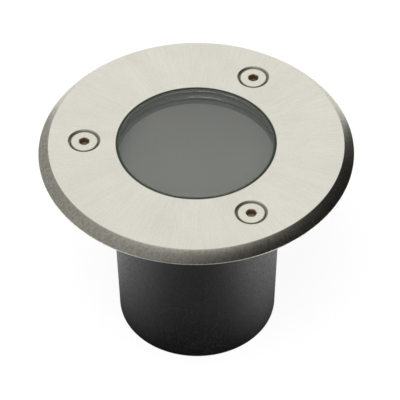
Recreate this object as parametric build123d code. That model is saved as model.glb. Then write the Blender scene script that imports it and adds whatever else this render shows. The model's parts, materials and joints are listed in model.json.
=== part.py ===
from build123d import *
import math
import os

# In-ground well light for one 50 mm low-voltage reflector lamp: a turned trim plate with stepped
# glass, clamped by three countersunk screws onto a cast pot that stands on its flat base.
# Millimetres. The origin is the centre of the base, +Z is up, and the cable gland points along +Y.

# ---------------------------------------------------------------- driving dimensions

# overall
overall_height = 81.0
trim_diameter = 110.0
trim_thickness = 4.0
trim_edge_height = 0.5          # upright rim left under the bevel
bevel_width = 3.5
opening_diameter = 56.0         # hole in the trim that shows the glass
register_depth = 0.5            # shallow recess in the trim that centres it on the pot flange
joint_gap = 0.2                 # pot rim to trim, taken up by the gasket
fit_gap = 0.1                   # pieces that drop into a recess
thread_gap = 0.05               # between a screw and what it screws into

# glass, its seal and the frosted disc, from the top down
glass_thickness = 6.0
glass_flange_thickness = 3.0
glass_flange_width = 3.5
glass_inset = 0.1               # glass face below the trim face
glass_chamfer = 0.25
bond_width = 0.5
bond_inset = 0.25
gasket_lip = 0.5
gasket_wall = 1.5
gasket_base = 2.7
spacer_height = 2.0
spacer_wall = 0.6
disc_thickness = 2.0
ledge_width = 1.8               # least that the disc rests on, all round

# trim screws, M5 countersunk with a hexagon socket, and their inserts
screw_land = 6.4                # gasket seat wall to screw centre
screw_places = ((180, 30), (60, 30), (-60, 0))      # angle round the trim, turn of the hexagon
screw_shank = 4.9
screw_length = 12.0
screw_head = 9.4
sink_margin = 1.0               # countersink mouth outside the head, all round
screw_inset = 0.3               # screw face below the trim face
hole_clearance = 0.3            # round the shank in the trim
hex_flats = 3.0
hex_depth = 2.2
insert_wall = 1.0
insert_length = 8.0
boss_wall = 2.0
boss_floor = 1.5

# pot
lip_wall = 2.3                  # wall round the disc
draft = 1.49                    # degrees
floor_thickness = 3.0
base_fillet = 1.5
foot_width = 5.0                # ring that the pot stands on
foot_height = 0.6
inner_draft = 0.7               # degrees
flange_thickness = 4.0
flange_margin = 1.5             # metal outside the screw bosses
hub_wall = 3.5                  # metal round and under the gasket seat
hub_floor = 3.0
hub_slope = 3.5                 # height of the cone from the pot wall to the hub
rib_thickness = 3.0
rib_height = 9.0

# lamp, 12 V reflector type with two pins
lamp_diameter = 50.7
lamp_clearance = 0.85
lamp_gap = 1.7                  # below the disc
lamp_length = 38.0              # rim to the underside of the cap
lamp_rim_height = 2.6
dish_depth = 25.8               # under the rim
dish_wall = 1.4
dish_hole_clearance = 1.5       # round the capsule
cap_width = 16.5
cap_depth = 11.5
stem_depth = 4.2                # capsule stem in the cap
pin_diameter = 1.5
pin_length = 7.0
pin_spacing = 5.33
front_glass_thickness = 1.2
capsule_diameter = 9.0
capsule_length = 14.0

# lampholder and bracket
holder_width = 25.0
holder_depth = 15.0
holder_height = 9.0
holder_screw_inset = 3.5        # screw centre to the end of the holder
contact_wall = 0.5
contact_height = 6.0
strap_thickness = 1.2
strap_width = 14.0
strap_margin = 1.5              # bracket leg outside the holder's end
strap_foot = 8.0
strap_bend = 1.0
small_screw = 2.9
small_head = 5.5
small_head_height = 1.8
bracket_boss_diameter = 7.0
bracket_boss_height = 4.0

# terminal block and leads
block_wall = 2.7                # outside the clamps
block_depth = 9.0
block_height = 12.0
block_pad = 2.0
pole_spacing = 10.0
pole_height = 4.5
clamp_outer = 4.6
clamp_wall = 0.8
clamp_screw = 2.0
clamp_screw_head = 3.4
clamp_screw_inset = 2.2         # screw centre to the end of the block
lead_room = 5.2                 # lampholder to terminal block
lead_diameter = 1.6
lead_bend = 2.0
lead_exit_height = 3.0          # above the underside of the holder

# cable gland, M12
gland_height = 20.0             # axis above the base
gland_thread = 11.9
gland_wall = 1.55               # thread to hexagon flats
gland_hex_length = 3.5
gland_stub_length = 6.6
gland_nut_length = 10.5
gland_nut_gap = 0.3
washer_inset = 0.2              # washer edge inside the hexagon flats
washer_thickness = 1.0
seal_wall = 1.4
seal_bore = 6.2                 # cable size that it seals
cable_clearance = 0.75          # round the cable in the gland and its cap nut
pad_margin = 2.0                # pad edge outside the hexagon flats
pad_stand = 0.8                 # pad face outside the pot wall
pad_depth = 5.8                 # pad face to inner face

# ---------------------------------------------------------------- heights and radii worked out

trim_under = overall_height - trim_thickness
opening_radius = opening_diameter / 2
glass_top = overall_height - glass_inset
glass_bottom = glass_top - glass_thickness
glass_flange_top = glass_bottom + glass_flange_thickness
glass_radius = opening_radius - bond_width
glass_flange_radius = glass_radius + glass_flange_width
trim_recess_top = glass_flange_top + gasket_lip
gasket_radius = glass_flange_radius + gasket_wall
gasket_bottom = glass_bottom - gasket_base
seat_radius = gasket_radius + fit_gap
seat_height = gasket_bottom - fit_gap

lamp_radius = lamp_diameter / 2
well_radius = lamp_radius + lamp_clearance
disc_radius = max(opening_radius, well_radius + ledge_width)
spacer_radius = disc_radius + fit_gap
spacer_inner_radius = min(disc_radius, opening_radius) + fit_gap - spacer_wall
disc_pocket_radius = disc_radius + 2 * fit_gap
disc_top = seat_height - spacer_height
ledge_height = disc_top - disc_thickness

register_top = trim_under + register_depth
pot_rim = register_top - joint_gap
pot_top_radius = disc_pocket_radius + lip_wall
flange_under = pot_rim - flange_thickness
hub_radius = seat_radius + hub_wall
hub_under = seat_height - hub_floor
insert_radius = screw_shank / 2 + thread_gap + insert_wall
boss_radius = insert_radius + boss_wall
screw_radius = seat_radius + screw_land
sink_radius = screw_head / 2 + sink_margin
trim_hole_radius = screw_shank / 2 + hole_clearance
flange_radius = screw_radius + boss_radius + flange_margin
register_radius = flange_radius + 3 * fit_gap


def pot_radius(height):
    """Outer radius of the drafted pot wall."""
    return pot_top_radius - (overall_height - height) * math.tan(math.radians(draft))


def bore_radius(height):
    """Inner radius of the lamp well, drafted from the ledge down."""
    return well_radius - (ledge_height - height) * math.tan(math.radians(inner_draft))


base_radius = pot_radius(0)
lamp_top = ledge_height - lamp_gap
lamp_rim_under = lamp_top - lamp_rim_height
cap_top = lamp_rim_under - dish_depth
lamp_bottom = lamp_top - lamp_length
dish_hole_radius = capsule_diameter / 2 + dish_hole_clearance
stem_radius = capsule_diameter / 4
holder_bottom = lamp_bottom - holder_height
holder_screw_x = holder_width / 2 - holder_screw_inset
holder_screw_seat = lamp_bottom - small_head_height - 1.0
contact_radius = pin_diameter / 2 + thread_gap + contact_wall
contact_bottom = holder_bottom + 1.0
contact_top = contact_bottom + contact_height
strap_under = holder_bottom - strap_thickness
strap_half = holder_width / 2 + strap_margin
bracket_seat = floor_thickness + bracket_boss_height
bracket_screw_x = strap_half + strap_foot / 2

block_width = pole_spacing + clamp_outer + 2 * block_wall
block_bottom = floor_thickness + block_pad
block_top = block_bottom + block_height
block_y = -(holder_depth / 2 + lead_room + block_depth / 2)
pole_z = block_bottom + pole_height
clamp_screw_y = block_depth / 2 - clamp_screw_inset

gland_radius = gland_thread / 2
gland_flats = gland_thread + 2 * gland_wall
gland_bore_radius = seal_bore / 2 + cable_clearance
seal_radius = seal_bore / 2 + seal_wall
pad_face = pot_radius(gland_height) + pad_stand
gland_inner_face = pad_face - pad_depth
gland_shoulder = pad_face + washer_thickness
gland_stub_start = gland_shoulder + gland_hex_length
gland_stub_end = gland_stub_start + gland_stub_length
seal_start = gland_stub_end - gland_stub_length * 0.8
seal_end = gland_stub_end + 1.2
gland_nut_start = gland_stub_start + gland_nut_gap
gland_nut_end = gland_nut_start + gland_nut_length


# ---------------------------------------------------------------- helpers

def turned(*points):
    """Solid of revolution about Z from an outline of (radius, height) points."""
    return revolve(Plane.XZ * make_face(Polyline(*points, close=True)), Axis.Z)


def drum(radius, low, high):
    """Upright cylinder on the Z axis between two heights."""
    return Pos(0, 0, low) * Cylinder(radius, high - low, align=(Align.CENTER, Align.CENTER, Align.MIN))


def ring(outer, inner, low, high):
    """Upright tube on the Z axis between two heights."""
    return drum(outer, low, high) - drum(inner, low, high)


def block(width, depth, low, high):
    """Box centred on the Z axis between two heights."""
    centred_low = (Align.CENTER, Align.CENTER, Align.MIN)
    return Pos(0, 0, low) * Box(width, depth, high - low, align=centred_low)


def circles(solid, radius, height):
    """The circular edges of one radius that lie at one height."""
    edges = solid.edges().filter_by(GeomType.CIRCLE)
    return edges.filter_by(lambda e: abs(e.radius - radius) < 0.01 and abs(e.center().Z - height) < 0.01)


def hexagon(flats, low, high):
    """Upright hexagonal bar on the Z axis, with two corners on the X axis."""
    return Pos(0, 0, low) * extrude(RegularPolygon(flats / 2, 6, major_radius=False), high - low)


def along_y(solid):
    """Stands a piece drawn up the Z axis along the gland axis, which points along +Y."""
    return Pos(0, 0, gland_height) * Rot(-90, 0, 0) * solid


def round_the_trim(angle, solid):
    """Puts a piece drawn on the Z axis at one screw position."""
    return Rot(0, 0, angle) * Pos(screw_radius, 0, 0) * solid


def pan_screw(head_seat, tip):
    """Small pan-head screw with a cross recess, drawn on the Z axis."""
    head_top = head_seat + small_head_height
    head = drum(small_head / 2, head_seat, head_top)
    head = fillet(circles(head, small_head / 2, head_top), small_head_height * 0.45)
    shank = drum(small_screw / 2, tip, head_seat)
    recess = block(small_head * 0.6, 0.7, head_top - 1.0, head_top)
    return head + shank - recess - Rot(0, 0, 90) * recess


# ---------------------------------------------------------------- trim, screws and glass

def make_trim_ring():
    """Flat plate with a 45 degree bevel, recesses for gasket and flange, and countersinks."""
    rim_radius = trim_diameter / 2
    recess_radius = gasket_radius + fit_gap
    plate = turned(
        (opening_radius, trim_recess_top),
        (opening_radius, overall_height),
        (rim_radius - bevel_width, overall_height),
        (rim_radius, trim_under + trim_edge_height),
        (rim_radius, trim_under),
        (register_radius, trim_under),
        (register_radius, register_top),
        (recess_radius, register_top),
        (recess_radius, trim_recess_top),
    )
    sink_floor = overall_height - (sink_radius - trim_hole_radius)
    sink = turned(
        (0, trim_under - 1),
        (trim_hole_radius, trim_under - 1),
        (trim_hole_radius, sink_floor),
        (sink_radius, overall_height),
        (sink_radius, overall_height + 1),
        (0, overall_height + 1),
    )
    for angle, _ in screw_places:
        plate -= round_the_trim(angle, sink)
    return plate


def make_trim_screw(angle, hex_turn):
    """Countersunk screw: flat face, upright land, 90 degree cone, shank with a chamfered tip."""
    face = overall_height - screw_inset
    cone_offset = sink_radius - thread_gap - overall_height      # cone radius less its height
    head_radius = screw_head / 2
    shank_radius = screw_shank / 2
    tip = face - screw_length
    tip_chamfer = 0.6
    edge_break = 0.2
    body = turned(
        (0, tip),
        (shank_radius - tip_chamfer, tip),
        (shank_radius, tip + tip_chamfer),
        (shank_radius, shank_radius - cone_offset),
        (head_radius, head_radius - cone_offset),
        (head_radius, face - edge_break),
        (head_radius - edge_break, face),
        (0, face),
    )
    socket_floor = face - hex_depth
    socket = hexagon(hex_flats, socket_floor, face)
    drill_point = turned((0, socket_floor - 0.6), (hex_flats / 2, socket_floor), (0, socket_floor))
    body = body - socket - drill_point
    return round_the_trim(angle, Rot(0, 0, hex_turn - angle) * body)


def make_glass_lens():
    """Stepped toughened glass: a boss that fills the opening and a flange that is clamped."""
    return turned(
        (0, glass_bottom),
        (glass_flange_radius, glass_bottom),
        (glass_flange_radius, glass_flange_top),
        (glass_radius, glass_flange_top),
        (glass_radius, glass_top - glass_chamfer),
        (glass_radius - glass_chamfer, glass_top),
        (0, glass_top),
    )


def make_glass_bond():
    """Bead of sealant between the glass boss and the edge of the opening."""
    return ring(opening_radius, glass_radius, trim_recess_top, overall_height - bond_inset)


def make_glass_gasket():
    """Silicone ring of U section, wrapped round the edge of the glass flange."""
    inner_radius = glass_radius + gasket_lip / 2
    return turned(
        (inner_radius, gasket_bottom),
        (gasket_radius, gasket_bottom),
        (gasket_radius, trim_recess_top),
        (opening_radius, trim_recess_top),
        (opening_radius, glass_flange_top),
        (glass_flange_radius, glass_flange_top),
        (glass_flange_radius, glass_bottom),
        (inner_radius, glass_bottom),
    )


def make_disc_spacer():
    """Thin dark ring that holds the frosted disc down on its ledge."""
    return ring(spacer_radius, spacer_inner_radius, disc_top, seat_height)


def make_frosted_disc():
    """Satin glass disc that lies on the ledge above the lamp."""
    disc = drum(disc_radius, ledge_height, disc_top)
    edges = circles(disc, disc_radius, disc_top) + circles(disc, disc_radius, ledge_height)
    return chamfer(edges, 0.2)


# ---------------------------------------------------------------- pot

def make_pot_body():
    """Cast pot: drafted well, gasket seat, flange, screw bosses, ribs, gland pad and floor bosses."""
    foot_inner = base_radius - foot_width
    pot = turned(
        (0, foot_height),
        (foot_inner - foot_height, foot_height),
        (foot_inner, 0),
        (base_radius, 0),
        (pot_radius(hub_under - hub_slope), hub_under - hub_slope),
        (hub_radius, hub_under),
        (hub_radius, flange_under),
        (flange_radius, flange_under),
        (flange_radius, pot_rim),
        (seat_radius, pot_rim),
        (seat_radius, seat_height),
        (disc_pocket_radius, seat_height),
        (disc_pocket_radius, ledge_height),
        (well_radius, ledge_height),
        (bore_radius(floor_thickness), floor_thickness),
        (0, floor_thickness),
    )
    pot = fillet(circles(pot, base_radius, 0), base_fillet)
    pot = chamfer(circles(pot, bore_radius(floor_thickness), floor_thickness), 1.5)
    pot = chamfer(circles(pot, flange_radius, flange_under), 0.6)
    pot = chamfer(circles(pot, flange_radius, pot_rim), register_depth - joint_gap)

    boss_under = pot_rim - insert_length - boss_floor
    for angle, _ in screw_places:
        pot += round_the_trim(angle, drum(boss_radius, boss_under, flange_under))
        pot += Rot(0, 0, angle + 180) * flange_rib()
    for angle, _ in screw_places:
        pot -= round_the_trim(angle, drum(insert_radius + thread_gap, pot_rim - insert_length, pot_rim))
        pot -= round_the_trim(angle, drum(trim_hole_radius, boss_under + boss_floor / 2, pot_rim))

    # pad for the gland, outside and inside the wall
    pad_radius = gland_flats / 2 + pad_margin
    pad = drum(pad_radius, gland_inner_face, pad_face)
    pad = chamfer(circles(pad, pad_radius, pad_face), 0.5)
    pot += along_y(pad)
    pot -= along_y(drum(gland_radius + thread_gap, gland_inner_face - 1, pad_face + 1))

    # floor bosses for the lamp bracket, and a pad for the terminal block
    for side in (-1, 1):
        boss = drum(bracket_boss_diameter / 2, floor_thickness / 2, bracket_seat)
        hole = drum(small_screw / 2 + thread_gap, floor_thickness / 2, bracket_seat)
        pot += Pos(side * bracket_screw_x, 0, 0) * boss
        pot -= Pos(side * bracket_screw_x, 0, 0) * hole
    pot += Pos(0, block_y, 0) * block(block_width, block_depth, floor_thickness / 2, block_bottom)
    pot -= Pos(0, block_y, 0) * drum(small_screw / 2 + thread_gap, floor_thickness / 2, block_bottom)
    return pot


def flange_rib():
    """Rib under the flange that runs out from the pot wall past the hub, drawn along +X."""
    root = pot_top_radius - lip_wall / 2
    foot = flange_under - rib_height
    outline = Polyline(
        (root, foot),
        (pot_radius(foot), foot),
        (flange_radius - flange_margin, flange_under),
        (hub_radius - hub_wall / 2, flange_under),
        (hub_radius - hub_wall / 2, hub_under),
        (root, hub_under),
        close=True,
    )
    return extrude(Plane.XZ * make_face(outline), rib_thickness / 2, both=True)


def make_boss_inserts():
    """Three threaded bushes pressed into the bosses, each with a groove round its middle."""
    middle = pot_rim - insert_length / 2
    bush = ring(insert_radius, screw_shank / 2 + thread_gap, pot_rim - insert_length, pot_rim)
    bush -= ring(insert_radius, insert_radius - insert_wall / 2, middle - 0.6, middle + 0.6)
    return [round_the_trim(angle, bush) for angle, _ in screw_places]


# ---------------------------------------------------------------- lamp

def dish_curve(low, high, radius_low, radius_high):
    """Parabola with its axis on Z through two (radius, height) ends, as an exact quadratic curve."""
    rise = (high - low) / (radius_high ** 2 - radius_low ** 2)
    middle = (radius_low + radius_high) / 2
    return Bezier(
        (radius_low, low),
        (middle, low + 2 * rise * radius_low * (middle - radius_low)),
        (radius_high, high),
    )


def make_lamp_reflector():
    """Pressed glass dish of parabolic section, with an upright rim that takes the front glass."""
    neck_radius = dish_hole_radius + dish_wall
    outer_radius = lamp_radius - dish_wall / 2
    inner_radius = outer_radius - dish_wall
    seat_under = lamp_top - front_glass_thickness
    outer = dish_curve(cap_top, lamp_rim_under, neck_radius, outer_radius)
    inner = dish_curve(cap_top, lamp_rim_under, dish_hole_radius, inner_radius)
    rim = Polyline(
        (outer_radius, lamp_rim_under),
        (lamp_radius, lamp_rim_under),
        (lamp_radius, lamp_top),
        (lamp_radius - dish_wall, lamp_top),
        (lamp_radius - dish_wall, seat_under),
        (inner_radius, seat_under),
        (inner_radius, lamp_rim_under),
    )
    outline = outer + rim + inner + Line((dish_hole_radius, cap_top), (neck_radius, cap_top))
    return revolve(Plane.XZ * make_face(outline), Axis.Z)


def make_lamp_front_glass():
    """Clear cover of the lamp, set in the rim of the dish."""
    return drum(lamp_radius - dish_wall - thread_gap, lamp_top - front_glass_thickness, lamp_top)


def make_lamp_cap():
    """Ceramic cap under the dish, with a collar for it and a hole for the capsule."""
    cap = block(cap_width, cap_depth, lamp_bottom, cap_top)
    cap = fillet(cap.edges().filter_by(Axis.Z), 2.5)
    return cap - drum(stem_radius + thread_gap, cap_top - stem_depth, cap_top)


def make_lamp_capsule():
    """Quartz capsule: a pinched stem in the cap and a domed bulb inside the dish."""
    radius = capsule_diameter / 2
    low = cap_top + 1.0
    high = low + capsule_length
    bulb = drum(radius, low, high)
    bulb = fillet(circles(bulb, radius, high), radius * 0.9)
    bulb = fillet(circles(bulb, radius, low), radius * 0.4)
    return bulb + drum(stem_radius, cap_top - stem_depth, low)


def make_lamp_pins():
    """Two contact pins with rounded tips."""
    pin = drum(pin_diameter / 2, lamp_bottom - pin_length, lamp_bottom)
    pin = fillet(circles(pin, pin_diameter / 2, lamp_bottom - pin_length), pin_diameter * 0.4)
    return [Pos(side * pin_spacing / 2, 0, 0) * pin for side in (-1, 1)]


# ---------------------------------------------------------------- lampholder and bracket

def make_lamp_holder():
    """Ceramic lampholder with two pin holes and two sunk screw holes."""
    holder = block(holder_width, holder_depth, holder_bottom, lamp_bottom)
    holder = fillet(holder.edges().filter_by(Axis.Z), 3.0)
    for side in (-1, 1):
        pin_x = side * pin_spacing / 2
        screw_x = side * holder_screw_x
        holder -= Pos(pin_x, 0, 0) * drum(pin_diameter / 2 + fit_gap, contact_bottom, lamp_bottom)
        holder -= Pos(pin_x, 0, 0) * drum(contact_radius + thread_gap, contact_bottom, contact_top)
        holder -= Pos(screw_x, 0, 0) * drum(small_screw / 2 + fit_gap, holder_bottom, lamp_bottom)
        holder -= Pos(screw_x, 0, 0) * drum(small_head / 2 + fit_gap, holder_screw_seat, lamp_bottom)
    return holder


def make_holder_contacts():
    """Two sleeves that grip the lamp pins."""
    sleeve = ring(contact_radius, pin_diameter / 2 + thread_gap, contact_bottom, contact_top)
    return [Pos(side * pin_spacing / 2, 0, 0) * sleeve for side in (-1, 1)]


def make_holder_screws():
    """Two screws through the lampholder into the bracket."""
    screw = pan_screw(holder_screw_seat, strap_under - 1.0)
    return [Pos(side * holder_screw_x, 0, 0) * screw for side in (-1, 1)]


def make_lamp_bracket():
    """Bridge bent from steel strap: two feet, two legs and a deck under the lampholder."""
    reach = strap_half + strap_foot
    outer_bend = strap_bend + strap_thickness
    top = FilletPolyline(
        (-reach, bracket_seat + strap_thickness),
        (-strap_half, bracket_seat + strap_thickness),
        (-strap_half, holder_bottom),
        (strap_half, holder_bottom),
        (strap_half, bracket_seat + strap_thickness),
        (reach, bracket_seat + strap_thickness),
        radius=(strap_bend, outer_bend, outer_bend, strap_bend),
    )
    inner = strap_half - strap_thickness
    under = FilletPolyline(
        (reach, bracket_seat),
        (inner, bracket_seat),
        (inner, strap_under),
        (-inner, strap_under),
        (-inner, bracket_seat),
        (-reach, bracket_seat),
        radius=(outer_bend, strap_bend, strap_bend, outer_bend),
    )
    ends = [Line(top @ 1, under @ 0), Line(under @ 1, top @ 0)]
    strap = extrude(Plane.XZ * make_face([top, under] + ends), strap_width / 2, both=True)
    corners = strap.edges().filter_by(Axis.Z).filter_by(lambda e: abs(abs(e.center().X) - reach) < 0.01)
    strap = fillet(corners, 3.0)
    for side in (-1, 1):
        foot_hole = drum(small_screw / 2 + fit_gap, bracket_seat - 1, bracket_seat + strap_thickness + 1)
        deck_hole = drum(small_screw / 2 + thread_gap, strap_under - 1, holder_bottom + 1)
        strap -= Pos(side * bracket_screw_x, 0, 0) * foot_hole
        strap -= Pos(side * holder_screw_x, 0, 0) * deck_hole
    return strap


def make_bracket_screws():
    """Two screws that hold the bracket's feet on the floor bosses."""
    screw = pan_screw(bracket_seat + strap_thickness, floor_thickness / 2 + 0.5)
    return [Pos(side * bracket_screw_x, 0, 0) * screw for side in (-1, 1)]


# ---------------------------------------------------------------- terminal block and leads

def poles():
    """X positions of the two poles."""
    return [side * pole_spacing / 2 for side in (-1, 1)]


def lay_along_y(solid, x, y, z):
    """Lays a piece drawn about the origin on the Z axis along Y, at one place."""
    return Pos(x, y, z) * Rot(-90, 0, 0) * solid


def make_terminal_block():
    """Two-pole block: cross bores for the clamps, screw shafts from above and a fixing hole."""
    waist = block_bottom + block_height / 2
    body = block(block_width, block_depth, block_bottom, block_top)
    body = chamfer(body.edges().filter_by(Axis.Z), 0.8)
    body -= block(2.4, block_depth, waist, block_top)
    body -= drum(small_screw / 2 + fit_gap, block_bottom, block_top)
    body -= drum(small_head / 2 + fit_gap, waist, block_top)
    half = block_depth / 2
    for x in poles():
        body -= lay_along_y(drum(clamp_outer / 2 + thread_gap, -half, half), x, 0, pole_z)
        for side in (-1, 1):
            shaft = drum(clamp_screw_head / 2 + fit_gap, pole_z, block_top)
            body -= Pos(x, side * clamp_screw_y, 0) * shaft
    return Pos(0, block_y, 0) * body


def make_terminal_clamps():
    """Two brass tubes with a tapped hole for each clamping screw."""
    half = block_depth / 2 - 0.3
    clamps = []
    for x in poles():
        tube = ring(clamp_outer / 2, clamp_outer / 2 - clamp_wall, -half, half)
        tube = lay_along_y(tube, x, 0, pole_z)
        for side in (-1, 1):
            hole = drum(clamp_screw / 2 + thread_gap, pole_z, pole_z + clamp_outer)
            tube -= Pos(x, side * clamp_screw_y, 0) * hole
        clamps.append(Pos(0, block_y, 0) * tube)
    return clamps


def make_terminal_screws():
    """Four slotted screws that clamp the wires."""
    head_low = pole_z + clamp_outer / 2 + 1.2
    head_high = head_low + 1.4
    screw = drum(clamp_screw_head / 2, head_low, head_high)
    screw += drum(clamp_screw / 2, pole_z + lead_diameter / 2 + fit_gap, head_low)
    screw -= block(clamp_screw_head, 0.6, head_high - 0.6, head_high)
    return [Pos(x, block_y + side * clamp_screw_y, 0) * screw for x in poles() for side in (-1, 1)]


def make_terminal_fixing_screw():
    """Screw that holds the terminal block on its pad."""
    return Pos(0, block_y, 0) * pan_screw(block_bottom + block_height / 2, floor_thickness / 2 + 0.5)


def make_holder_leads():
    """Two insulated leads from the lampholder down into the terminal clamps."""
    start_y = -holder_depth / 2
    drop_y = start_y - lead_bend - lead_diameter / 2
    end_y = block_y + block_depth / 2 - clamp_screw_inset / 2
    start_z = holder_bottom + lead_exit_height
    leads = []
    for x in poles():
        path = FilletPolyline(
            (x, start_y, start_z),
            (x, drop_y, start_z),
            (x, drop_y, pole_z),
            (x, end_y, pole_z),
            radius=lead_bend,
        )
        section = Plane(origin=path @ 0, z_dir=path % 0) * Circle(lead_diameter / 2)
        leads.append(sweep(section, path=path))
    return leads


# ---------------------------------------------------------------- cable gland

def make_gland_body():
    """Gland body: thread through the pad, hexagon, and a threaded stub with the seal's cone."""
    flat_radius = gland_flats / 2
    corner_radius = flat_radius / math.cos(math.radians(30))
    collar = turned(
        (0, gland_shoulder),
        (corner_radius, gland_shoulder),
        (corner_radius, gland_stub_start - 0.6),
        (flat_radius, gland_stub_start),
        (0, gland_stub_start),
    )
    collar &= Rot(0, 0, 30) * hexagon(gland_flats, gland_shoulder, gland_stub_start)
    body = drum(gland_radius, gland_inner_face, gland_stub_end) + collar
    body -= drum(gland_bore_radius, gland_inner_face, gland_stub_end)
    body -= drum(seal_radius, seal_start, gland_stub_end)
    return along_y(body)


def make_gland_washer():
    """Flat sealing washer between the gland and the pad on the pot."""
    outer = gland_flats / 2 - washer_inset
    return along_y(ring(outer, gland_radius + thread_gap, pad_face, gland_shoulder))


def make_gland_seal():
    """Rubber bush that grips the cable, with a collar that the cap nut presses on."""
    seal = drum(seal_radius - thread_gap, seal_start, seal_end)
    seal += drum(seal_radius + 0.5, gland_stub_end, seal_end)
    return along_y(seal - drum(seal_bore / 2, seal_start, seal_end))


def make_gland_nut():
    """Cap nut: hexagon, then a rounded nose with the cable outlet."""
    flat_radius = gland_flats / 2
    corner_radius = flat_radius / math.cos(math.radians(30))
    nose_radius = flat_radius - 0.3
    nose_start = gland_nut_start + gland_nut_length * 0.45
    hex_end = nose_start + 0.5
    nut = turned(
        (0, gland_nut_start),
        (flat_radius + 0.3, gland_nut_start),
        (corner_radius, gland_nut_start + 0.6),
        (corner_radius, nose_start - 0.3),
        (flat_radius, hex_end),
        (0, hex_end),
    )
    nut &= Rot(0, 0, 30) * hexagon(gland_flats, gland_nut_start, hex_end)
    nose = drum(nose_radius, nose_start, gland_nut_end)
    nut += fillet(circles(nose, nose_radius, gland_nut_end), nose_radius - gland_bore_radius - 0.7)
    nut -= drum(gland_radius + thread_gap, gland_nut_start, seal_end + 0.3)
    nut -= drum(gland_bore_radius, gland_nut_start, gland_nut_end)
    return along_y(nut)


# ---------------------------------------------------------------- all the pieces

def all_pieces():
    """Every node's name with its solid or its group of like solids."""
    pieces = {
        "pot_body": make_pot_body(),
        "boss_inserts": make_boss_inserts(),
        "trim_ring": make_trim_ring(),
        "glass_lens": make_glass_lens(),
        "glass_bond": make_glass_bond(),
        "glass_gasket": make_glass_gasket(),
        "disc_spacer": make_disc_spacer(),
        "frosted_disc": make_frosted_disc(),
        "lamp_reflector": make_lamp_reflector(),
        "lamp_front_glass": make_lamp_front_glass(),
        "lamp_cap": make_lamp_cap(),
        "lamp_capsule": make_lamp_capsule(),
        "lamp_pins": make_lamp_pins(),
        "lamp_holder": make_lamp_holder(),
        "holder_contacts": make_holder_contacts(),
        "holder_screws": make_holder_screws(),
        "lamp_bracket": make_lamp_bracket(),
        "bracket_screws": make_bracket_screws(),
        "terminal_block": make_terminal_block(),
        "terminal_clamps": make_terminal_clamps(),
        "terminal_screws": make_terminal_screws(),
        "terminal_fixing_screw": make_terminal_fixing_screw(),
        "holder_leads": make_holder_leads(),
        "gland_body": make_gland_body(),
        "gland_washer": make_gland_washer(),
        "gland_seal": make_gland_seal(),
        "gland_nut": make_gland_nut(),
    }
    for number, (angle, hex_turn) in enumerate(screw_places, start=1):
        pieces[f"trim_screw_{number}"] = make_trim_screw(angle, hex_turn)
    return pieces


os.makedirs("parts", exist_ok=True)
for name, piece in all_pieces().items():
    if isinstance(piece, list):
        piece = Compound(children=piece)
    export_step(piece, f"parts/{name}.step")
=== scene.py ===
import json
import math
from types import SimpleNamespace

import bmesh
import bpy
import numpy as np
from bpy.props import BoolProperty, FloatProperty, FloatVectorProperty, PointerProperty
from bpy.types import NodeSocket, Operator, Panel, PropertyGroup
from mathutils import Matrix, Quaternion, Vector


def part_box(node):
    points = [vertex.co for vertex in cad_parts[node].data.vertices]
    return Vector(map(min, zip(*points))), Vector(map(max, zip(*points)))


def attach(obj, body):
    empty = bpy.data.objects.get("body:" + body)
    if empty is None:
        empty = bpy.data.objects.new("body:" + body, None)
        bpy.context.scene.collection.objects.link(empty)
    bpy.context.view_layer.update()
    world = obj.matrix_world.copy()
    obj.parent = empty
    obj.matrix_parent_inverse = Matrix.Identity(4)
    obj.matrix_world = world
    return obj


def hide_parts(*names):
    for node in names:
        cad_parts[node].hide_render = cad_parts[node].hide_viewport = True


bl_info = {
    "name": "In-ground well light",
    "version": (1, 0, 0),
    "blender": (4, 5, 0),
    "location": "View3D > Sidebar > Well light",
    "description": "Builds the visible pieces, finishes and studio of an in-ground well light",
    "category": "Object",
}

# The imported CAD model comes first, so that the sizes below can be read from it.
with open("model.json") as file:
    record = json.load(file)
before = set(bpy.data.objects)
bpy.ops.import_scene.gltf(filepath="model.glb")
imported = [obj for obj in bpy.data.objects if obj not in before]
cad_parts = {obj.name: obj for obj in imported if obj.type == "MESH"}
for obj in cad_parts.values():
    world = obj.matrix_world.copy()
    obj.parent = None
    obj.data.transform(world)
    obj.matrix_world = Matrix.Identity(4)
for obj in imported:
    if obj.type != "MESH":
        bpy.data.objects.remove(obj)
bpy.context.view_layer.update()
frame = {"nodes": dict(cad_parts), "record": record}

MM = 0.001
BODY_OF = {node: body for body, nodes in frame["record"]["behaviour"]["bodies"].items() for node in nodes}
SLOT_OF = {part["node"]: part["material_slot"] for part in frame["record"]["subparts"]}


def edge_of(node, axis, end=1):
    """Coordinate of a CAD node's box in millimetres: axis 0 to 2, end 0 for lowest and 1 for highest."""
    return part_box(node)[end][axis] / MM


def span(node, axis=2):
    """Lowest and highest coordinate of a CAD node's box in millimetres, along Z unless told."""
    return edge_of(node, axis, 0), edge_of(node, axis)


# Heights above the base and radii, in millimetres
TRIM_UNDER, TOP = span("trim_ring")
RIM = edge_of("trim_ring", 0)
BEVEL = 3.5
OPENING = edge_of("glass_bond", 0)
RECESS, RECESS_TOP = 32.6, edge_of("glass_gasket", 2)
REGISTER, REGISTER_TOP = 46.3, TRIM_UNDER + 0.5
SCREW_CIRCLE = 39.0
SINK_MOUTH, SINK_HOLE = 5.7, 2.75
FLAT_LEAD, SINK_LEAD = 0.5, 0.3     # flat strips between the plate's grid and its rounded edges
GLAND_HEIGHT = 20.0

# Each screw's direction from the middle, and the turn of its hexagon, in degrees
SCREW_TURNS = {"trim_screw_1": (180, 30), "trim_screw_2": (60, 30), "trim_screw_3": (300, 0)}
DIRECTIONS = [direction for direction, _ in SCREW_TURNS.values()]

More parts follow.
